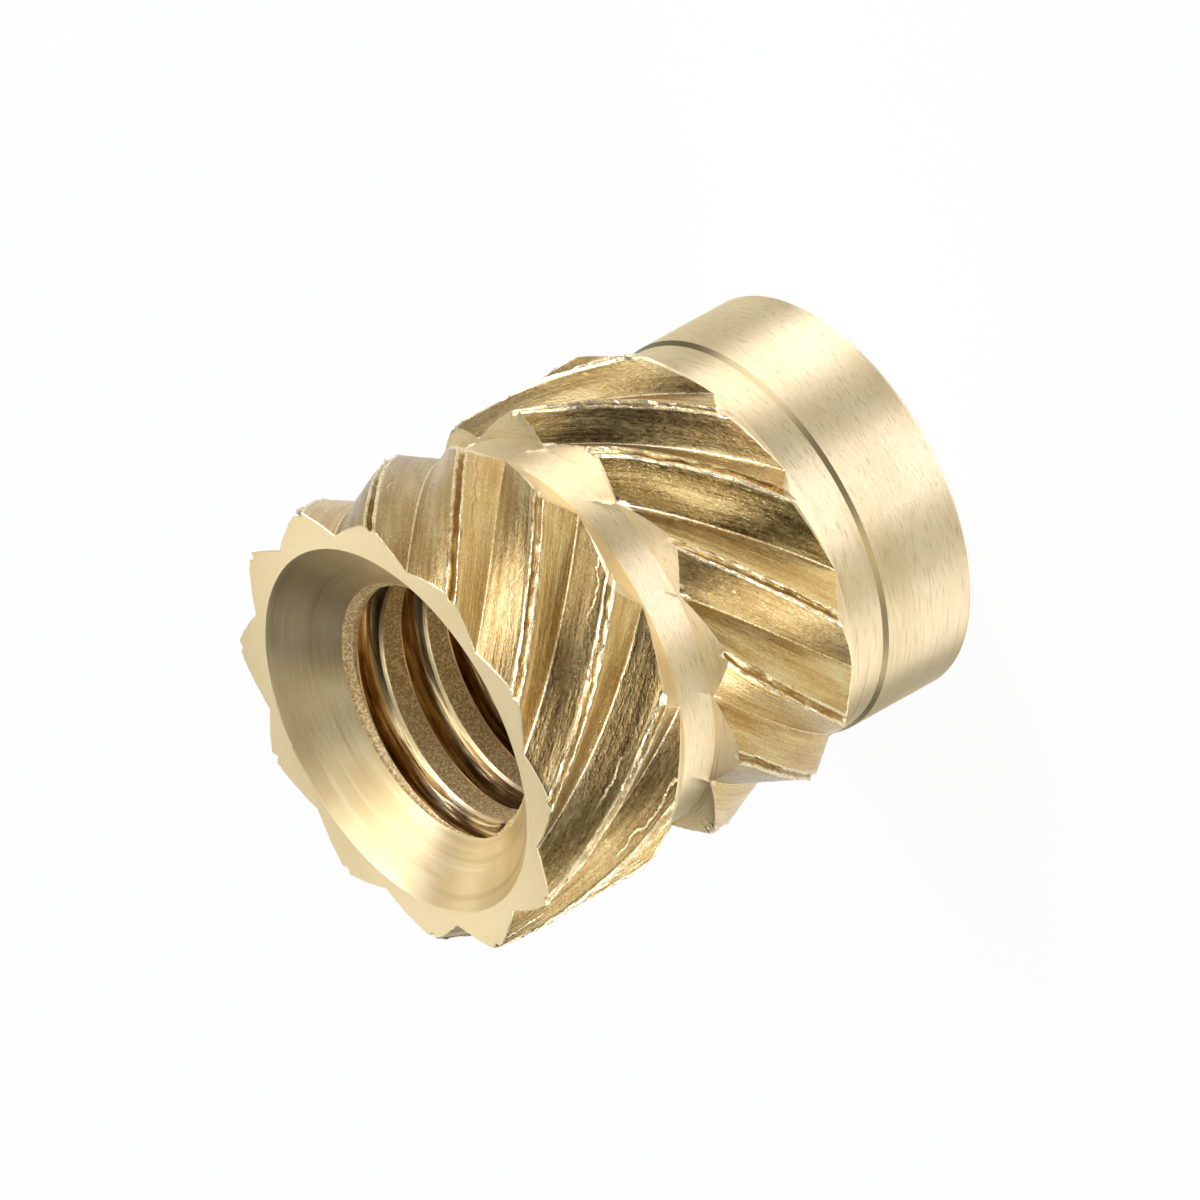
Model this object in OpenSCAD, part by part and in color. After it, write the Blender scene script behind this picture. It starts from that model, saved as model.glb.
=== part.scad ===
// Brass threaded insert for pressing hot into a plastic hole.
// It is turned from bar, knurled left-handed above its groove and right-handed
// below it, and tapped. It stands on its plain pilot end, so its knurled and
// countersunk mouth is up, and the origin is the centre of the pilot's end face.

/* [Lengths along the axis] */
// Length over both end faces
insert_len = 7.0; // [6.7:0.05:8.5]
// Length of the plain pilot, which enters the hole first
pilot_len = 1.33; // [0.9:0.01:1.8]
// Length of the low step between the pilot and the neck
step_len = 0.14; // [0.05:0.01:0.25]
// Length of the turned neck above the step
neck_len = 0.46; // [0.2:0.01:0.8]
// Length of the lower knurl over its chamfer and shoulder
lower_knurl_len = 2.2; // [1.7:0.01:2.5]
// Length of the flat bottom of the groove between the knurls
groove_len = 0.48; // [0.2:0.01:0.8]

/* [Outside diameters] */
// Diameter over the crests of both knurls
knurl_d = 5.95; // [5.6:0.01:6.4]
// Diameter of the pilot
pilot_d = 5.28; // [4.9:0.01:5.4]
// Depth of the neck below the roots of the knurl
neck_relief = 0.02; // [0.01:0.01:0.2]
// Depth of the groove's bottom below the roots of the knurl
groove_relief = 0.03; // [0.02:0.01:0.2]

/* [Knurl] */
// Number of teeth round each knurl
teeth = 12; // [9:1:16]
// Depth of a tooth from its crest to its root
tooth_depth = 0.35; // [0.2:0.01:0.4]
// Width of a tooth's rounded crest
crest_w = 0.3; // [0.15:0.01:0.4]
// Height that the crest rises over its own two edges
crest_rise = 0.03; // [0.01:0.01:0.06]
// Slant of the upper teeth from the axis, leaning left as they rise
upper_slant = 46; // [30:1:50]
// Slant of the lower teeth from the axis, leaning right as they rise
lower_slant = 45; // [30:1:50]
// Length of the chamfer that leads the lower teeth into the hole
lead_chamfer = 0.36; // [0.2:0.01:0.5]
// Length of the steep shoulder from the lower teeth up to the groove
groove_shoulder = 0.12; // [0.08:0.01:0.3]
// Length of the slope from the groove up to the crests of the upper teeth
groove_slope = 0.44; // [0.2:0.01:0.6]

/* [Threaded bore] */
// Nominal diameter of the screw thread
thread_d = 4.0; // [3:0.1:4.3]
// Pitch of the screw thread
thread_pitch = 0.7; // [0.5:0.05:0.9]
// Diameter of the countersunk mouth at the upper face
countersink_d = 4.84; // [4.4:0.01:5.05]
// Depth of the countersunk cone
countersink_depth = 0.6; // [0.3:0.01:1]
// Width of the narrow ring between the cone and the thread
ring_w = 0.09; // [0.05:0.01:0.2]
// Depth of that ring
ring_depth = 0.1; // [0.05:0.01:0.3]
// Chamfer at the bore's lower mouth
mouth_chamfer = 0.3; // [0.1:0.01:0.5]
// Break on the outside edge of the pilot
edge_break = 0.05; // [0.02:0.01:0.2]

/* [Hidden] */

knurl_r = knurl_d / 2;
root_r = knurl_r - tooth_depth;
pilot_r = pilot_d / 2;
neck_r = root_r - neck_relief;
groove_r = root_r - groove_relief;
countersink_r = countersink_d / 2;

// An internal metric thread's crests stand 1.0825 pitches inside its nominal diameter.
bore_r = (thread_d - 1.0825 * thread_pitch) / 2;

neck_z = pilot_len + step_len;
lower_knurl_z = neck_z + neck_len;
groove_z = lower_knurl_z + lower_knurl_len;
upper_knurl_z = groove_z + groove_len;
groove_middle_z = groove_z + groove_len / 2;
neck_middle_z = neck_z + neck_len / 2;

tooth_pitch = 360 / teeth;
mean_r = (knurl_r + root_r) / 2;
function turn_per_mm(slant) = tan(slant) / mean_r * 180 / PI;

// How far the cutters run past the faces that they open through
overrun = 0.2;
// How much thicker than the finished crests the bar is before it is knurled
bar_excess = 0.1;
// Largest turn of the teeth from one slice to the next, in degrees
slice_turn = 4;
// Sides of the turned surfaces
turned_fn = 96;

function polar(r, turn) = [r * cos(turn), r * sin(turn)];

// One tooth: its root, one edge of its crest, its top and the other edge
function tooth_points(turn) = let (
    top = turn + tooth_pitch / 2,
    half_crest = crest_w / 2 / knurl_r * 180 / PI
) [
    polar(root_r, turn),
    polar(knurl_r - crest_rise, top - half_crest),
    polar(knurl_r, top),
    polar(knurl_r - crest_rise, top + half_crest)
];

// Everything outside the teeth between two heights. A root stands at root_turn
// degrees at the height root_at, and the teeth turn by turn degrees per millimetre.
module knurl_cut(from_z, to_z, root_at, root_turn, turn) {
    cut_len = to_z - from_z;
    difference() {
        translate([0, 0, from_z])
            cylinder(r = knurl_r + bar_excess + overrun, h = cut_len, $fn = turned_fn);
        translate([0, 0, from_z]) rotate(root_turn + (from_z - root_at) * turn)
            linear_extrude(height = cut_len, twist = -cut_len * turn,
                           slices = ceil(abs(cut_len * turn) / slice_turn))
                polygon([for (i = [0 : teeth - 1]) each tooth_points(i * tooth_pitch)]);
    }
}

// The point past a slope's upper end where the slope reaches the uncut bar
function to_bar(foot, crest) = crest + (crest - foot) * bar_excess / (crest.x - foot.x);

// The bar as the lathe shapes it, left thick where the knurls will be
module turned_blank() {
    rotate_extrude($fn = turned_fn) polygon([
        [0, 0],
        [pilot_r - edge_break, 0],
        [pilot_r, edge_break],
        [pilot_r, pilot_len],
        [neck_r, neck_z],
        [neck_r, lower_knurl_z],
        to_bar([neck_r, lower_knurl_z], [knurl_r, lower_knurl_z + lead_chamfer]),
        to_bar([groove_r, groove_z], [knurl_r, groove_z - groove_shoulder]),
        [groove_r, groove_z],
        [groove_r, upper_knurl_z],
        to_bar([groove_r, upper_knurl_z], [knurl_r, upper_knurl_z + groove_slope]),
        [knurl_r + bar_excess, insert_len],
        [0, insert_len]
    ]);
}

// The drilled hole with its countersink, the ring below it and the lower mouth
module bore_cut() {
    ring_r = bore_r + ring_w;
    ring_z = insert_len - countersink_depth;
    cone_slope = (countersink_r - ring_r) / countersink_depth;
    rotate_extrude($fn = turned_fn) polygon([
        [0, -overrun],
        [bore_r + mouth_chamfer + overrun, -overrun],
        [bore_r, mouth_chamfer],
        [bore_r, ring_z - ring_depth],
        [ring_r, ring_z],
        [countersink_r + overrun * cone_slope, insert_len + overrun],
        [0, insert_len + overrun]
    ]);
}

module insert_body() {
    color([0.83, 0.70, 0.46]) difference() {
        turned_blank();
        knurl_cut(groove_middle_z, insert_len + overrun,
                  insert_len, 0, -turn_per_mm(upper_slant));
        knurl_cut(neck_middle_z, groove_middle_z,
                  groove_z - groove_shoulder, tooth_pitch / 2, turn_per_mm(lower_slant));
        bore_cut();
    }
}

insert_body();
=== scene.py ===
import math

import bmesh
import bpy
import numpy as np
from mathutils import Matrix, Vector


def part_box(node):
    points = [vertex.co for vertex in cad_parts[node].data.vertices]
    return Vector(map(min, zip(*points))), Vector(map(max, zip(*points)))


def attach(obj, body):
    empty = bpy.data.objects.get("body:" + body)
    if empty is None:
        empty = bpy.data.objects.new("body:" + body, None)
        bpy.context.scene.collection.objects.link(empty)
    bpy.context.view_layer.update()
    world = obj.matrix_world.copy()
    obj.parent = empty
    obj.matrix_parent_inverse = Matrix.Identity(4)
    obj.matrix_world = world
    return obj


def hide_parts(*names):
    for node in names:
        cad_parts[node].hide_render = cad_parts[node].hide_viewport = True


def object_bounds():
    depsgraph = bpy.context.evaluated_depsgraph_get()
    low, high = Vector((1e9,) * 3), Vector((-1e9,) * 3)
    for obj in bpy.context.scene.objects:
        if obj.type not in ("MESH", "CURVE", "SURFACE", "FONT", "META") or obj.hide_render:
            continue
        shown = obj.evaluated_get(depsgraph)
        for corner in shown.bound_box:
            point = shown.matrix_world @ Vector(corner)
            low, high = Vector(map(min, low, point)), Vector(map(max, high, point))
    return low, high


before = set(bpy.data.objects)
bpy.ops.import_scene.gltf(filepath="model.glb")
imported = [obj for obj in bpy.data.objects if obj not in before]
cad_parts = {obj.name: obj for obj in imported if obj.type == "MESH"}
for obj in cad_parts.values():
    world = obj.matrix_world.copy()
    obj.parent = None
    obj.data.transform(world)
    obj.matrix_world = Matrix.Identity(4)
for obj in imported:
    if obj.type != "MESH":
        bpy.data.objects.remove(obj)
cad_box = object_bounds()


# ---- The insert ----
# One piece of free-cutting brass, turned and knurled on a bar lathe. Two knurls with
# opposite slants grip the plastic, a plain pilot leads the insert into its hole, and
# the bore is tapped for an M4 screw. Lengths are in millimetres, up from the pilot's end.

MM = 0.001
same_height = 1e-6
rng = np.random.default_rng(4)

lowest, highest = [np.array(corner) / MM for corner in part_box("insert_body")]
insert_len = highest[2]
crest_r = (highest[0] - lowest[0]) / 2

# The lathe's outline: pilot, step, neck, lower knurl, groove and upper knurl
pilot_r, edge_break = 2.64, 0.05
step_r, step_bottom, step_top = 2.597, 1.362, 1.420
neck_r, neck_bottom, neck_top = 2.605, 1.47, 1.93
lead_chamfer, groove_shoulder = 0.36, 0.12
groove_r, groove_bottom, groove_top = 2.595, 4.13, 4.61
groove_slope, slope_toe, slope_blend = 0.44, 0.12, 0.0002
face_break = 0.012

# The teeth, in degrees round the axis, or in degrees for each millimetre up. They turn
# left-handed above the groove and right-handed below it.
teeth = 12
tooth_pitch = 360 / teeth
root_r, crest_edge_r, crest_rise = 2.625, 2.945, 0.03
half_crest = 2.9
upper_turn, lower_turn, lower_start = 21.2, 20.5, 45

# The bore: a countersink, a short wall and a rough ring over the tapping drill's hole
bore_r = 1.621
countersink_r, countersink_foot_r, countersink_foot = 2.42, 1.711, 6.40
rim_break = 0.015
ring_step_r, ring_step, ring_foot = 1.700, 6.362, 6.30
mouth_r, mouth_chamfer = 1.921, 0.30

# The cutter leaves each tooth a little different: short of its full height by some
# hundredths, or leaning a few degrees off its middle
short_of_full = np.array([.03, .05, .00, .02, .01, .03, .02, .00, .03, .01, .04, .02])
lean = np.array([-2.6, -2.2, -1.5, -1.8, 1.2, 2.8, -0.9, 1.2, 2.2, 0.3, -1.1, -0.9])

# The knurling wheel drags a little burr out of the lower valleys into the groove
trace_top, shortest_trace, trace_tip = 4.46, 0.12, 0.06


def spread(*runs):
    """Steps along a line: each run is a start, an end and how many steps it takes."""
    return np.concatenate([np.linspace(start, end, steps, endpoint=False)
                           for start, end, steps in runs])


def share_of(value):
    """A share of a way: 0 before its start and 1 past its end."""
    return np.clip(value, 0, 1)


# The mesh has columns that run down the insert. Their angles lie closest on the crests,
# which carry the burrs.
valley, crest_from, crest_to = 1.0, 11.4, 18.6
one_tooth = spread((0, valley, 2), (valley, crest_from, 8), (crest_from, crest_to, 16),
                   (crest_to, tooth_pitch - valley, 8), (tooth_pitch - valley, tooth_pitch, 2))
column = np.concatenate([one_tooth + tooth_pitch * k for k in range(teeth)])
columns = len(column)
across = np.tile(one_tooth, teeth)
tooth = np.repeat(np.arange(teeth), len(one_tooth))
from_valley = np.minimum(across, tooth_pitch - across)
off_middle = across - tooth_pitch / 2


def flank_radius(edge_r):
    """A tooth's flat flanks, from its root up to the radius of its crest's edges."""
    return root_r + (edge_r - root_r) * from_valley / (tooth_pitch / 2 - half_crest)


def slope_radius(z):
    """The slope from the groove up to the upper knurl, blended into the groove's bottom."""
    up = z - groove_top
    return groove_r + (crest_r - groove_r) / groove_slope * (up + np.sqrt(up * up + slope_blend)) / 2


def height_on_slope(radius):
    """The height at which that slope reaches a radius."""
    before, past, steps = 0.3, 0.2, 400
    z = np.linspace(groove_top - before, groove_top + groove_slope + past, steps)
    return np.interp(radius, slope_radius(z), z)


def blank_radius(z):
    """The turned bar's radius, before it is knurled."""
    below_groove = np.interp(
        z,
        [0, edge_break, step_bottom, step_top, neck_bottom, neck_top,
         neck_top + lead_chamfer, groove_bottom - groove_shoulder, groove_bottom],
        [pilot_r - edge_break, pilot_r, pilot_r, step_r, neck_r, neck_r,
         crest_r, crest_r, groove_r])
    return np.where(z < groove_bottom, below_groove, np.minimum(slope_radius(z), crest_r))


def lower_angle(z):
    """How far the lower knurl has turned at a height."""
    return lower_start + lower_turn * (z - groove_bottom + groove_shoulder)


def column_turn(z):
    """How far the columns have turned at a height: they follow both knurls."""
    upper = upper_turn * (insert_len - z)
    at_groove_top = upper_turn * (insert_len - groove_top)
    in_groove = np.interp(z, [trace_top, groove_top], [lower_angle(trace_top), at_groove_top])
    turn = np.where(z > groove_top, upper, np.where(z > trace_top, in_groove, lower_angle(z)))
    return np.where(z < neck_top, lower_angle(neck_top), turn)


def level(z):
    """A row of the mesh that lies at one height all round."""
    return np.full_like(across, z)


# The rows of the outside, from the upper face down. A row has a height for each column,
# so that rows end exactly where the teeth of full height meet the slopes. Each station
# has the number of rows that lead down to it.
rounded_crest = crest_edge_r + crest_rise * (1 - (off_middle / half_crest) ** 2)
full_tooth = np.where(np.abs(off_middle) < half_crest, rounded_crest, flank_radius(crest_edge_r))
meets_slope = height_on_slope(full_tooth)
meets_shoulder = groove_bottom - groove_shoulder * (full_tooth - groove_r) / (crest_r - groove_r)
meets_chamfer = neck_top + lead_chamfer * (full_tooth - neck_r) / (crest_r - neck_r)
stations = [
    (level(insert_len - face_break), 0),
    (meets_slope, 52),
    (level(groove_top), 6),
    (level(groove_top - slope_toe), 3),
    (level(groove_bottom), 8),
    (meets_shoulder, 4),
    (meets_chamfer, 50),
    (level(neck_top), 6),
    (level(neck_bottom), 4),
    (level(step_top), 1),
    (level(step_bottom), 2),
    (level(edge_break), 4),
    (level(0), 2),
]
rows = [stations[0][0]]
for (start, _), (end, count) in zip(stations, stations[1:]):
    rows += [start + (end - start) * k / count for k in range(1, count + 1)]
heights = np.array(rows)

is_upper = heights > groove_top
tooth_of = np.broadcast_to(tooth, heights.shape)
off_crest = np.broadcast_to(off_middle, heights.shape)
sample_step = 0.02
samples = int(insert_len / sample_step) + 2
sample_of = np.clip((heights / sample_step).astype(int), 0, samples - 1)


def along(smooth, reach):
    """A random line down each tooth. It strays by about reach, and smoothly over a length."""
    where = np.arange(0, insert_len + sample_step, sample_step) / smooth
    lines = []
    for _ in range(teeth):
        knots = rng.normal(0, reach, int(insert_len / smooth) + 3)
        lines.append(np.interp(where, np.arange(len(knots)), knots)[:samples])
    return np.array(lines)


def here(lines):
    """What each tooth's line says at every place of the outside."""
    return lines[tooth_of, sample_of]


def each_tooth(upper, lower):
    """One value for all of a tooth, from a list for the upper teeth and one for the lower."""
    return np.where(is_upper, upper[tooth_of], lower[tooth_of])


def ridge(centre, width):
    """A rounded ridge that runs along the crests, some degrees off their middle."""
    return np.exp(-((off_crest - centre) / width) ** 2)


# Burrs: two ragged ridges, with a seam between them, run along each crest
stray = along(0.45, 0.28) + along(0.10, 0.16) + along(0.05, 0.08)
seam_depth = np.clip(0.012 + along(0.5, 0.010) + along(0.07, 0.008), 0.0, 0.04)
left_ridge = np.clip(0.010 + along(0.16, 0.010) + along(0.05, 0.012), -0.02, 0.04)
right_ridge = np.clip(0.008 + along(0.2, 0.010) + along(0.05, 0.012), -0.02, 0.03)
left_burr, right_burr = 0.038, 0.034
burr_foot_r, crest_dish, full_drop_at = 2.925, 0.015, 12
dished_crest = burr_foot_r - crest_dish * (1 - (off_crest / half_crest) ** 2)
crest_shape = np.where(np.abs(off_crest) < half_crest, dished_crest, flank_radius(burr_foot_r))
burrs = (here(left_ridge) + left_burr) * ridge(-1.6, 0.75)
burrs = burrs + (here(right_ridge) + right_burr) * ridge(1.4, 0.65)
seam = here(seam_depth) * ridge(-0.1, 0.55)
drop = each_tooth(short_of_full, short_of_full[(np.arange(teeth) * 5 + 3) % teeth])
tooth_r = crest_shape + burrs - seam - drop * share_of(from_valley / full_drop_at)

# The flanks are rough: shallow streaks run along them, over a fine grit
streak_step, streak_depth, grit_depth = 0.7, 0.0035, 0.0008
streak_knots = rng.normal(0, streak_depth, (columns, int(insert_len / streak_step) + 3))
streak_at = np.clip(heights / streak_step, 0, streak_knots.shape[1] - 2)
knot = streak_at.astype(int)
column_of = np.arange(columns)[None, :]
streak = (streak_knots[column_of, knot] * (1 - streak_at + knot)
          + streak_knots[column_of, knot + 1] * (streak_at - knot))
on_flank = share_of(from_valley / 1.5) * share_of(np.abs(off_crest) - 2.6)
rough_flank = (streak + rng.normal(0, grit_depth, heights.shape)) * on_flank
never_cut = 9
tooth_r = np.where(heights > neck_top + same_height, tooth_r + rough_flank, never_cut)

# The bar with its traces of burr, and what the teeth leave of it inside the insert's box
trace_width, inside_box = 1.1, 0.0005
trace_height = np.clip(0.013 + along(0.12, 0.008) + along(0.05, 0.007), 0, 0.030)
trace_end = rng.uniform(groove_bottom + shortest_trace, trace_top, teeth)[tooth_of]
in_trace = share_of((trace_end - heights) / trace_tip) * (heights > groove_bottom - groove_shoulder)
trace = here(trace_height) * in_trace * np.exp(-(from_valley / trace_width) ** 2)
bar_r = blank_radius(heights) + trace
outside_r = np.minimum(np.minimum(tooth_r, bar_r), crest_r - inside_box)

# The lean of the teeth and the stray of their burrs fade out towards groove and neck
lean_reach, stray_reach, upper_fade_len, lower_fade_len = 14, 2.2, 0.5, 0.4
lean_here = each_tooth(lean, lean[(np.arange(teeth) * 7 + 2) % teeth])
lean_share = share_of(1 - np.abs(off_crest) / lean_reach)
upper_fade = share_of((heights - groove_top) / upper_fade_len)
lower_fade = (share_of((groove_bottom - heights) / lower_fade_len)
              * share_of((heights - neck_top) / lower_fade_len))
fade = np.where(is_upper, upper_fade, lower_fade)
shift = (lean_here * lean_share + here(stray) * np.exp(-(off_crest / stray_reach) ** 2)) * fade
angle = np.radians(column + column_turn(heights) + shift)


def ring_at(radius, z, turned):
    """Places round the axis at a radius and a height, one for each angle."""
    return np.stack([radius * np.cos(turned), radius * np.sin(turned), z + 0 * turned], axis=-1)


def between(start, end, *shares):
    """Rows that lie between two others, at these shares of the way."""
    return [start + (end - start) * share for share in shares]


# From the drilled hole out to the edge of the upper face, then down the outside and
# round the pilot's end to the hole's lower mouth
outside = ring_at(outside_r, heights, angle)
mouth_angle, pilot_angle = angle[0], angle[-1]
cone_foot = ring_at(countersink_foot_r, countersink_foot, mouth_angle)
cone_top = ring_at(countersink_r, insert_len - face_break, mouth_angle)
rim = ring_at(countersink_r + rim_break, insert_len, mouth_angle)
face_edge = ring_at(outside_r[0] - face_break, insert_len, mouth_angle)
hole_rows = [ring_at(bore_r, ring_foot, mouth_angle), ring_at(ring_step_r, ring_step, mouth_angle)]
cone_rows = [cone_foot, *between(cone_top, cone_foot, 2 / 3, 1 / 3)]
face_rows = [cone_top, rim, *between(face_edge, rim, 0.7, 0.35), face_edge]
inner_rows = hole_rows + cone_rows + face_rows
lower_rows = [ring_at(mouth_r, 0.0, pilot_angle), ring_at(bore_r, mouth_chamfer, pilot_angle)]
surface = np.concatenate([inner_rows, outside, lower_rows])
rows_round = len(surface)

insert_faces = []
for row in range(rows_round):
    next_row = (row + 1) % rows_round
    for place in range(columns):
        next_place = (place + 1) % columns
        insert_faces.append((row * columns + place, next_row * columns + place,
                             next_row * columns + next_place, row * columns + next_place))


def new_piece(name, places, faces):
    """A mesh object in the scene, from places in metres and the faces between them."""
    mesh = bpy.data.meshes.new(name)
    mesh.from_pydata(places, [], faces)
    piece = bpy.data.objects.new(name, mesh)
    bpy.context.scene.collection.objects.link(piece)
    return piece


insert = new_piece("threaded_insert", (surface.reshape(-1, 3) * MM).tolist(), insert_faces)


def note_at_places(name, values):
    """Keeps three numbers at each place of the insert, for its finishes to read."""
    layer = insert.data.attributes.new(name, "FLOAT_VECTOR", "POINT")
    layer.data.foreach_set("vector", values.astype(np.float32).ravel())


# The grain is each place with its tooth turned back to run straight down
straightened = ring_at(outside_r, heights, np.radians(column))
note_at_places("grain", np.concatenate([inner_rows, straightened, lower_rows]))

# Painted light and shade on each tooth's two flanks, from dark to bright: a flank that catches the
# light is painted golden, and one that mirrors the dim room is painted dark
painted_light_upper_to_mouth = np.array([.3, .2, .4, .3, .35, .4, .2, .12, .15, .48, .6, .35])
painted_light_upper_to_pilot = np.array([.8, .9, .7, .9, .8, .9, .9, .8, .9, 1, 1, .5])
painted_light_lower_to_mouth = np.array([.5, .3, .25, .35, .3, .2, .35, .68, .25, .0, .05, .3])
painted_light_lower_to_pilot = np.array([.9, .8, .7, .9, .8, .9, .8, .8, 1, .9, .8, .9])
faces_mouth = np.where(is_upper, off_crest > 0, off_crest < 0)
painted_flank_light = np.where(faces_mouth, each_tooth(painted_light_upper_to_mouth, painted_light_lower_to_mouth),
                each_tooth(painted_light_upper_to_pilot, painted_light_lower_to_pilot))

# The skin's x is about 1 on burrs and in valleys and below 0 in the seams: it puts painted highlights
# on the burrs, the valley lines and the burr traces, and painted shade in the seams. Its y is how far
# up an upper flank a place is, from 0 in the valley, and its z is the flank's painted light and shade
seam_painted_shade = 1.6
# Painted highlights on the burr ridges and along each valley, and below on the burr traces
painted_ridge_highlight = ridge(-1.7, 0.9) + ridge(1.5, 0.8) + np.exp(-(from_valley / 0.55) ** 2) * 0.9
painted_ridge_highlight = painted_ridge_highlight + in_trace * np.exp(-(from_valley / 1.2) ** 2)
up_flank = np.where(is_upper, from_valley / (tooth_pitch / 2), 0)
skin_and_painted_light = np.stack([painted_ridge_highlight - seam_painted_shade * ridge(-0.1, 0.42), up_flank, painted_flank_light], axis=-1)
skin_and_painted_light *= (heights > neck_top - same_height)[..., None]
all_skin_and_painted_light = np.zeros((rows_round, columns, 3))
all_skin_and_painted_light[len(inner_rows):-len(lower_rows)] = skin_and_painted_light
note_at_places("skin_and_painted_light", all_skin_and_painted_light)

# Which finish each face has, by the row above it. Knurled faces lie where the teeth cut the bar, and
# the corner painted with shade is the foot of the step.
TURNED, KNURLED, BORED, FACED, CORNER, TAPPED, SUNK = range(7)
above, below = heights[:-1], heights[1:]
touch, nearly_cut = 1e-5, 0.004
cut = (tooth_r[:-1] < bar_r[:-1] + touch) & (tooth_r[1:] < bar_r[1:] + nearly_cut)
in_upper = below > meets_slope - same_height
in_lower = (above < meets_shoulder + same_height) & (below > meets_chamfer - same_height)
above_groove = below > groove_top - same_height
at_step = (step_bottom - same_height < below) & (above < step_top + same_height)
outer = np.where(cut & (in_upper | in_lower), KNURLED, np.where(above_groove, FACED, TURNED))
outer[at_step] = CORNER
finish_of = np.full((rows_round, columns), TURNED, np.int32)
finish_of[:len(hole_rows)] = BORED
finish_of[len(hole_rows):len(hole_rows + cone_rows)] = SUNK
finish_of[len(hole_rows + cone_rows):len(inner_rows)] = FACED
finish_of[len(inner_rows):len(inner_rows) + len(outer)] = outer
finish_of[-1] = BORED
insert.data.polygons.foreach_set("material_index", finish_of.ravel())
insert.data.update()

# The screw thread is cut by a helical tool, as a tap cuts it. Its section is a radius
# and a height off its middle, and it comes to its full depth over the run-in.
thread_pitch, thread_turns, thread_start, thread_start_z = 0.7, 9.3, 205, 6.29
steps_a_turn, run_in, first_depth, least_width = 90, 16, 0.02, 0.25
tap_section = [(1.50, 0.220), (bore_r, 0.210), (1.655, 0.170), (1.93, 0.03), (1.955, 0.0),
               (1.93, -0.03), (1.655, -0.170), (bore_r, -0.210), (1.50, -0.220)]
tap_steps = int(thread_turns * steps_a_turn)
tap_corners = len(tap_section)
tap_places = []
for i in range(tap_steps + 1):
    turns_down = i / steps_a_turn
    tap_angle = math.radians(thread_start - 360 * turns_down)
    tap_z = thread_start_z - thread_pitch * turns_down
    depth = min(1, first_depth + turns_down * 360 / run_in)
    width = least_width + (1 - least_width) * depth
    for radius, off in tap_section:
        reach = bore_r + (radius - bore_r) * (depth if radius > bore_r else 1)
        tap_places.append((reach * math.cos(tap_angle) * MM, reach * math.sin(tap_angle) * MM,
                           (tap_z + off * width) * MM))
tap_faces = []
for i in range(tap_steps):
    for j in range(tap_corners):
        k = (j + 1) % tap_corners
        tap_faces.append((i * tap_corners + j, i * tap_corners + k,
                          (i + 1) * tap_corners + k, (i + 1) * tap_corners + j))
tap_faces.append(tuple(range(tap_corners))[::-1])
tap_faces.append(tuple(tap_steps * tap_corners + j for j in range(tap_corners)))
tap = new_piece("tap", tap_places, tap_faces)

# The thread's flanks are tapped, and the slopes that break its crests are faced
crest_slopes = (1, 6)
tap_finish = np.full(len(tap_faces), TAPPED, np.int32)
for j in crest_slopes:
    tap_finish[j:tap_steps * tap_corners:tap_corners] = FACED
tap.data.polygons.foreach_set("material_index", tap_finish)


def turn_faces_out(mesh):
    """Makes every face of a closed mesh look outwards."""
    bm = bmesh.new()
    bm.from_mesh(mesh)
    bmesh.ops.recalc_face_normals(bm, faces=bm.faces)
    bm.to_mesh(mesh)
    bm.free()


turn_faces_out(tap.data)
turn_faces_out(insert.data)


def worked_out(tree, operation, first, second=0.0):
    """A Math node's answer. Each side is a number or another node's output."""
    node = tree.nodes.new("ShaderNodeMath")
    node.operation = operation
    for socket, value in zip(node.inputs, (first, second)):
        if isinstance(value, float):
            socket.default_value = value
        else:
            tree.links.new(value, socket)
    return node.outputs[0]


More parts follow.
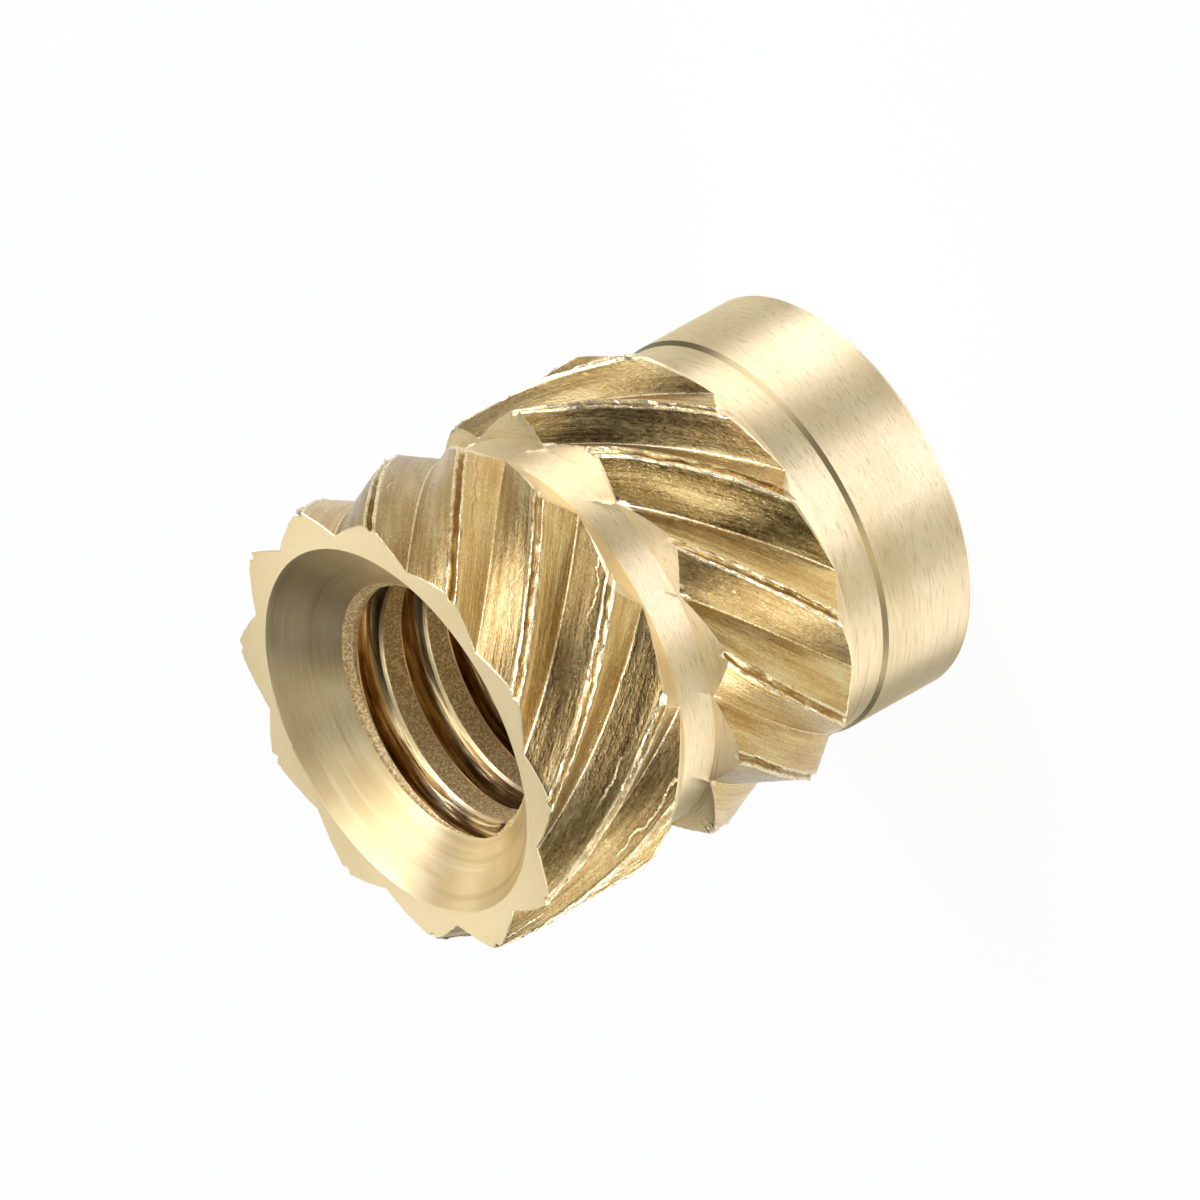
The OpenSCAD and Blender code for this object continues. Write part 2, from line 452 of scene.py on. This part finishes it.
class Finish:
    """A brass material, and the few nodes that its patterns are built from."""

    quarter_turn = 0.25

    def __init__(self, name, colour, roughness, anisotropy):
        self.material = bpy.data.materials.new(name)
        self.material.use_nodes = True
        self.tree = self.material.node_tree
        self.shader = self.tree.nodes["Principled BSDF"]
        self.shader.inputs["Base Color"].default_value = (*colour, 1)
        self.shader.inputs["Metallic"].default_value = 1
        self.shader.inputs["Roughness"].default_value = roughness
        self.shader.inputs["Anisotropic"].default_value = anisotropy
        self.shader.inputs["Anisotropic Rotation"].default_value = self.quarter_turn
        tangent = self.tree.nodes.new("ShaderNodeTangent")
        tangent.direction_type = "RADIAL"
        tangent.axis = "Z"
        self.link(tangent.outputs[0], self.shader.inputs["Tangent"])
        metres = self.tree.nodes.new("ShaderNodeTexCoord").outputs["Object"]
        self.place = self.scaled(metres, (1 / MM, 1 / MM, 1 / MM))

    def link(self, output, socket):
        """Leads one node's output to a socket."""
        self.tree.links.new(output, socket)

    def noted(self, name):
        """The numbers that the insert keeps at each place under a name."""
        node = self.tree.nodes.new("ShaderNodeAttribute")
        node.attribute_name = name
        return node.outputs["Vector"]

    def parts(self, vector):
        """The X, Y and Z of a vector, each by itself."""
        node = self.tree.nodes.new("ShaderNodeSeparateXYZ")
        self.link(vector, node.inputs[0])
        return node.outputs

    def scaled(self, vector, factors):
        """A vector with each of its parts multiplied by a factor of its own."""
        node = self.tree.nodes.new("ShaderNodeVectorMath")
        node.operation = "MULTIPLY"
        node.inputs[1].default_value = factors
        self.link(vector, node.inputs[0])
        return node.outputs[0]

    def round_the_axis(self):
        """A place that changes across the lathe's marks and only slowly along them."""
        radius = self.tree.nodes.new("ShaderNodeVectorMath")
        radius.operation = "LENGTH"
        self.link(self.scaled(self.place, (1, 1, 0)), radius.inputs[0])
        where = self.parts(self.place)
        joined = self.tree.nodes.new("ShaderNodeCombineXYZ")
        self.link(radius.outputs["Value"], joined.inputs["X"])
        self.link(where["Z"], joined.inputs["Y"])
        self.link(worked_out(self.tree, "ADD", where["X"], where["Y"]), joined.inputs["Z"])
        return joined.outputs[0]

    def noise(self, vector, fineness, detail=2.0, roughness=0.5):
        """A cloudy pattern. Its fineness is one number, or one for each part of the place."""
        if isinstance(fineness, tuple):
            vector, fineness = self.scaled(vector, fineness), 1.0
        node = self.tree.nodes.new("ShaderNodeTexNoise")
        node.inputs["Scale"].default_value = fineness
        node.inputs["Detail"].default_value = detail
        node.inputs["Roughness"].default_value = roughness
        self.link(vector, node.inputs["Vector"])
        return node.outputs["Fac"]

    def ranged(self, value, low, high, to_low=0.0, to_high=1.0):
        """A value stretched from one range to another, and held inside it."""
        node = self.tree.nodes.new("ShaderNodeMapRange")
        for socket, number in zip(("From Min", "From Max", "To Min", "To Max"),
                                  (low, high, to_low, to_high)):
            node.inputs[socket].default_value = number
        self.link(value, node.inputs["Value"])
        return node.outputs["Result"]

    def mixed(self, factor, low, high):
        """A colour between two, each of which is a colour or another node's output."""
        node = self.tree.nodes.new("ShaderNodeMix")
        node.data_type = "RGBA"
        self.link(factor, node.inputs["Factor"])
        for side, colour in (("A", low), ("B", high)):
            socket = [i for i in node.inputs if i.name == side and i.type == "RGBA"][0]
            if isinstance(colour, tuple):
                socket.default_value = (*colour, 1)
            else:
                self.link(colour, socket)
        return [o for o in node.outputs if o.type == "RGBA"][0]

    def laid_over(self, tone, colour, pattern, bare, full, most=1.0):
        """A tone with a colour over it: none where the pattern is bare, most where full."""
        return self.mixed(self.ranged(pattern, bare, full, 0.0, most), tone, colour)

    def bump(self, height, depth, under=None):
        """The marks that a pattern leaves in the surface, over those under it."""
        node = self.tree.nodes.new("ShaderNodeBump")
        node.inputs["Distance"].default_value = depth * MM
        node.inputs["Strength"].default_value = 1
        self.link(height, node.inputs["Height"])
        if under is not None:
            self.link(under, node.inputs["Normal"])
        return node.outputs[0]

    def dress(self, tone, marks=None, roughness=None):
        """Gives the brass its tone, the marks in its surface and its roughness."""
        self.link(tone, self.shader.inputs["Base Color"])
        if marks is not None:
            self.link(marks, self.shader.inputs["Normal"])
        if roughness is not None:
            self.link(roughness, self.shader.inputs["Roughness"])


# What the lathe leaves: fine marks, the lines of the feed, a slow change of tone, and grit
fine_marks, feed_lines, slow_change, turned_grit = (22, 22, 2.2), (7, 7, 0.6), (1.2, 1.2, 0.5), 26

# Turned faces: the marks run round the axis and spread the shine along it
turned = Finish("turned_brass", (0.80, 0.67, 0.42), 0.55, 0.95)
lathe = turned.round_the_axis()
grit = turned.noise(turned.place, turned_grit)
shade = turned.noise(lathe, slow_change)
scratch = turned.noise(lathe, (42, 42, 4), 3, 0.65)
tone = turned.mixed(turned.ranged(shade, 0.35, 0.65), (0.82, 0.67, 0.37), (0.90, 0.76, 0.46))
tone = turned.laid_over(tone, (0.56, 0.43, 0.22), scratch, 0.46, 0.22)
tone = turned.laid_over(tone, (0.95, 0.87, 0.66), scratch, 0.60, 0.85)
marks = turned.bump(turned.noise(lathe, feed_lines, 1), 0.003)
marks = turned.bump(turned.noise(lathe, fine_marks), 0.0030, marks)
marks = turned.bump(grit, 0.0012, marks)
turned.dress(tone, marks, turned.ranged(grit, 0.3, 0.7, 0.50, 0.60))

# The upper face and the slope: the same marks, cut finer
faced = Finish("faced_brass", (0.80, 0.67, 0.44), 0.40, 0.45)
lathe = faced.round_the_axis()
grit = faced.noise(faced.place, turned_grit)
shade = faced.noise(lathe, slow_change)
tone = faced.mixed(faced.ranged(shade, 0.35, 0.65), (0.82, 0.66, 0.36), (0.88, 0.73, 0.43))
marks = faced.bump(faced.noise(lathe, feed_lines, 1), 0.002)
marks = faced.bump(faced.noise(lathe, fine_marks), 0.0020, marks)
marks = faced.bump(grit, 0.0028, marks)
faced.dress(tone, marks, faced.ranged(grit, 0.3, 0.7, 0.35, 0.44))

# The countersink: a darker, browner tone than the upper face, with a few rings where the tool dwelt
sunk = Finish("countersunk_brass", (0.80, 0.65, 0.38), 0.40, 0.45)
lathe = sunk.round_the_axis()
rings = sunk.noise(lathe, (5, 5, 0.3))
shade = sunk.noise(sunk.place, 1.1)
tone = sunk.mixed(sunk.ranged(shade, 0.38, 0.62), (0.74, 0.57, 0.28), (0.84, 0.68, 0.37))
tone = sunk.laid_over(tone, (0.62, 0.47, 0.22), rings, 0.42, 0.26)
tone = sunk.laid_over(tone, (0.92, 0.80, 0.52), rings, 0.58, 0.80)
sunk.dress(tone, sunk.bump(sunk.noise(lathe, fine_marks), 0.0020, sunk.bump(rings, 0.0020)))

# The knurls: the wheel's drag lines run along the teeth, over a torn and gritty skin.
# Every tone goes from dark to golden with the painted light and shade of the flank that it is on.
knurled = Finish("knurled_brass", (0.70, 0.54, 0.29), 0.24, 0.0)
grain = knurled.noted("grain")
skin_and_light_parts = knurled.parts(knurled.noted("skin_and_painted_light"))
burr_highlight_or_seam_shade, up_the_flank, flank_painted_light = skin_and_light_parts["X"], skin_and_light_parts["Y"], skin_and_light_parts["Z"]
drag = knurled.noise(grain, (17, 17, 0.6), 3, 0.6)
torn = knurled.noise(grain, (20, 20, 12), 3, 0.6)
grit = knurled.noise(grain, (48, 48, 34), 2, 0.6)
patch = knurled.noise(grain, (2.8, 2.8, 1.3))
# Each tone runs from a shaded dark colour to a lit golden one, by the flank's painted light
dark_tone = knurled.mixed(flank_painted_light, (0.055, 0.032, 0.007), (0.56, 0.35, 0.11))
light_tone = knurled.mixed(flank_painted_light, (0.145, 0.095, 0.028), (0.84, 0.60, 0.23))
torn_tone = knurled.mixed(flank_painted_light, (0.27, 0.20, 0.068), (0.88, 0.74, 0.38))
tone = knurled.mixed(knurled.ranged(drag, 0.30, 0.66), dark_tone, light_tone)
tone = knurled.laid_over(tone, torn_tone, torn, 0.55, 0.80)
tone = knurled.laid_over(tone, torn_tone, grit, 0.56, 0.72)
tone = knurled.laid_over(tone, dark_tone, grit, 0.44, 0.28)
tone = knurled.laid_over(tone, dark_tone, patch, 0.50, 0.32, 0.6)
tone = knurled.laid_over(tone, torn_tone, patch, 0.52, 0.68, 0.5)

# Ragged laps run along the upper flanks, where the wheel folded the skin over. They come and go; their
# pale edge is a painted highlight, with a painted shadow line under it.
ragged = knurled.noise(grain, (1.0, 1.0, 3.2), 4, 0.6)
lap_comes = knurled.noise(grain, (1.1, 1.1, 0.9), 1)
stray_up = worked_out(knurled.tree, "MULTIPLY", ragged, 0.6)
lap_place = worked_out(knurled.tree, "ADD", up_the_flank, stray_up)
lap_height = 0.93
off_lap = worked_out(knurled.tree, "ABSOLUTE",
                     worked_out(knurled.tree, "SUBTRACT", lap_place, lap_height))
lap = worked_out(knurled.tree, "MULTIPLY", knurled.ranged(off_lap, 0.035, 0.008),
                 knurled.ranged(lap_comes, 0.49, 0.58))
painted_shadow_under_lap = worked_out(knurled.tree, "MULTIPLY", knurled.ranged(off_lap, 0.12, 0.04, 0.0, 0.7),
                       knurled.ranged(lap_comes, 0.47, 0.56))
# A painted shadow under the lap's edge
tone = knurled.mixed(painted_shadow_under_lap, tone, dark_tone)
# The lap's pale edge: a painted highlight
tone = knurled.mixed(lap, tone, (0.74, 0.60, 0.30))

# Burrs get a painted highlight, and the seams between them a painted brown shade
burr_highlight_tone = knurled.mixed(knurled.ranged(grit, 0.40, 0.56), (0.62, 0.45, 0.19), (0.93, 0.83, 0.54))
tone = knurled.laid_over(tone, burr_highlight_tone, burr_highlight_or_seam_shade, 0.35, 0.8)
tone = knurled.laid_over(tone, (0.42, 0.28, 0.11), burr_highlight_or_seam_shade, -0.2, -1.0)
marks = knurled.bump(torn, 0.006, knurled.bump(drag, 0.006))
marks = knurled.bump(lap, 0.004, knurled.bump(grit, 0.003, marks))
knurled.dress(tone, marks, knurled.ranged(torn, 0.35, 0.7, 0.24, 0.36))

# The drilled hole, left as the thread's crests, and the ring above it: a torn, speckled skin
bored = Finish("bored_brass", (0.80, 0.63, 0.36), 0.70, 0.0)
speckle = bored.noise(bored.place, 30, 3, 0.6)
tone = bored.mixed(bored.ranged(speckle, 0.42, 0.62), (0.62, 0.44, 0.19), (0.96, 0.82, 0.50))
bored.dress(tone, bored.bump(speckle, 0.010))

# The thread's flanks: a dark golden brown that is painted shade, as they lie deep in the bore and face
# away from the light, with the tap's fine marks running along them
tapped = Finish("tapped_brass_painted_shade", (0.34, 0.19, 0.06), 0.22, 0.0)
drawn = tapped.noise(tapped.place, (3, 3, 16), 3, 0.6)
tap_lines = tapped.noise(tapped.round_the_axis(), (13, 13, 0.5))
tone = tapped.mixed(tapped.ranged(drawn, 0.35, 0.65), (0.20, 0.10, 0.03), (0.46, 0.28, 0.10))
tone = tapped.laid_over(tone, (0.80, 0.64, 0.34), tap_lines, 0.48, 0.60)
tapped.dress(tone, tapped.bump(drawn, 0.003, tapped.bump(tap_lines, 0.006)))

# The corner at the foot of the pilot's step: painted shade, a dark base colour that keeps the step's
# foot a dark line where it would mirror the lamps
corner = Finish("corner_brass_painted_shade", (0.34, 0.27, 0.13), 0.35, 0.0)
painted_shade_patches = corner.noise(corner.place, 0.5)
corner.dress(corner.mixed(corner.ranged(painted_shade_patches, 0.3, 0.7), (0.23, 0.18, 0.08), (0.38, 0.30, 0.14)))

for finish in (turned, knurled, bored, faced, corner, tapped, sunk):
    insert.data.materials.append(finish.material)
    tap.data.materials.append(finish.material)

# The tap cuts, slivers thinner than 0.0002 mm are merged, and edges stay sharp where two
# faces meet at more than 28 degrees
sliver, sharp_edge = 0.0002 * MM, 28
cut_thread = insert.modifiers.new("thread", "BOOLEAN")
cut_thread.operation = "DIFFERENCE"
cut_thread.solver = "MANIFOLD"
cut_thread.object = tap
bpy.context.view_layer.update()
tapped_insert = insert.evaluated_get(bpy.context.evaluated_depsgraph_get())
threaded = bpy.data.meshes.new_from_object(tapped_insert)
insert.modifiers.clear()
bm = bmesh.new()
bm.from_mesh(threaded)
bmesh.ops.remove_doubles(bm, verts=bm.verts, dist=sliver)
bmesh.ops.dissolve_degenerate(bm, dist=sliver, edges=bm.edges)
many_sided = [face for face in bm.faces if len(face.verts) > 4]
bmesh.ops.triangulate(bm, faces=many_sided, ngon_method="BEAUTY")
bm.to_mesh(threaded)
bm.free()
insert.data = threaded
bpy.data.objects.remove(tap)
threaded.polygons.foreach_set("use_smooth", np.ones(len(threaded.polygons), bool))
threaded.set_sharp_from_angle(angle=math.radians(sharp_edge))

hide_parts("insert_body")
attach(insert, "root")


# ---- The floor ----
# A seamless sheet of pale paper, laid just under the insert. It shows as white wherever
# it is looked at or mirrored, and still takes the insert's shadow.
half_floor, floor_drop, paper_white = 3.0, 0.00002, 0.93
floor_corners = [(-half_floor, -half_floor, 0), (half_floor, -half_floor, 0),
                 (half_floor, half_floor, 0), (-half_floor, half_floor, 0)]
floor = new_piece("floor", floor_corners, [(0, 1, 2, 3)])
floor.location.z = -floor_drop

paper = bpy.data.materials.new("white_paper")
paper.use_nodes = True
nodes, links = paper.node_tree.nodes, paper.node_tree.links
nodes.remove(nodes["Principled BSDF"])
matt = nodes.new("ShaderNodeBsdfDiffuse")
matt.inputs["Color"].default_value = (0.9, 0.9, 0.9, 1)
glow = nodes.new("ShaderNodeEmission")
glow.inputs["Color"].default_value = (1, 1, 1, 1)
rays = nodes.new("ShaderNodeLightPath").outputs
looked_at = worked_out(paper.node_tree, "ADD", rays["Is Camera Ray"], rays["Is Glossy Ray"])
looked_at = worked_out(paper.node_tree, "ADD", looked_at, rays["Is Transmission Ray"])
blend = nodes.new("ShaderNodeMixShader")
links.new(worked_out(paper.node_tree, "MULTIPLY", looked_at, paper_white), blend.inputs[0])
links.new(matt.outputs[0], blend.inputs[1])
links.new(glow.outputs[0], blend.inputs[2])
links.new(blend.outputs[0], nodes["Material Output"].inputs["Surface"])
floor.data.materials.append(paper)


# ---- The light ----
# Soft boxes stand round the insert in a dim room, and two more hang over it. Each has an
# azimuth, its lower and upper rise and its width in degrees, as the insert sees it.
lamp_distance = 0.4
plain, daylight = (1, 1, 1), (0.98, 1.0, 1.2)


def soft_box(name, azimuth, low, high, width, radiance, colour=plain):
    """A rectangular lamp that fills this much of the insert's view."""
    rise = math.radians((low + high) / 2)
    turned_to = math.radians(azimuth)
    towards = Vector((math.cos(turned_to) * math.cos(rise), math.sin(turned_to) * math.cos(rise),
                      math.sin(rise)))
    lamp = bpy.data.lights.new(name, "AREA")
    lamp.shape = "RECTANGLE"
    lamp.size = 2 * lamp_distance * math.tan(math.radians(width / 2))
    lamp.size_y = 2 * lamp_distance * math.tan(math.radians((high - low) / 2))
    lamp.color = colour
    lamp.energy = radiance * lamp.size * lamp.size_y * math.pi
    box = bpy.data.objects.new(name, lamp)
    box.location = towards * lamp_distance
    box.rotation_mode = "QUATERNION"
    box.rotation_quaternion = towards.to_track_quat("Z", "Y")
    box.visible_camera = False
    bpy.context.scene.collection.objects.link(box)


soft_box("right_box", azimuth=9, low=1, high=50, width=38, radiance=4.1, colour=(0.98, 1.0, 1.26))
soft_box("left_box", azimuth=206, low=1, high=18, width=48, radiance=5.6, colour=daylight)
soft_box("front_box", azimuth=289, low=1, high=12, width=46, radiance=13.4, colour=(0.97, 1.0, 1.34))
soft_box("high_left_box", azimuth=246, low=31, high=51, width=38, radiance=2.6)
soft_box("top_box", azimuth=325, low=52, high=74, width=46, radiance=1.6)
soft_box("back_box", azimuth=95, low=12, high=44, width=80, radiance=1.25)
soft_box("mouth_box", azimuth=48, low=56, high=76, width=34, radiance=2.6)

room_light = 0.03
world = bpy.data.worlds.new("dim_room")
world.use_nodes = True
world.node_tree.nodes["Background"].inputs["Color"].default_value = (*[room_light] * 3, 1)
bpy.context.scene.world = world


# ---- The camera ----
# A long lens looks down on the insert from its front. The camera is rolled so that the
# mouth faces lower left.
view_azimuth, view_rise, view_roll = 292.13, 30.24, -118.9
camera_distance, lens, sensor, far_clip = 0.6084, 1500, 36, 10
off_middle_right, off_middle_up = -0.00017, 0.00013

azimuth, rise, roll = [math.radians(degrees) for degrees in (view_azimuth, view_rise, view_roll)]
back = Vector((math.cos(azimuth) * math.cos(rise), math.sin(azimuth) * math.cos(rise), math.sin(rise)))
level_right = Vector((-math.sin(azimuth), math.cos(azimuth), 0))
right = level_right * math.cos(roll) + back.cross(level_right) * math.sin(roll)
up = back.cross(right)
middle = Vector((cad_box[0] + cad_box[1]) / 2)
stand = middle + right * off_middle_right + up * off_middle_up + back * camera_distance

camera_data = bpy.data.cameras.new("camera")
camera_data.lens = lens
camera_data.sensor_width = sensor
camera_data.clip_end = far_clip
camera = bpy.data.objects.new("camera", camera_data)
bpy.context.scene.collection.objects.link(camera)
camera.matrix_world = Matrix(((right.x, up.x, back.x, stand.x), (right.y, up.y, back.y, stand.y),
                              (right.z, up.z, back.z, stand.z), (0, 0, 0, 1)))
bpy.context.scene.camera = camera
bpy.context.scene.view_settings.view_transform = "Standard"
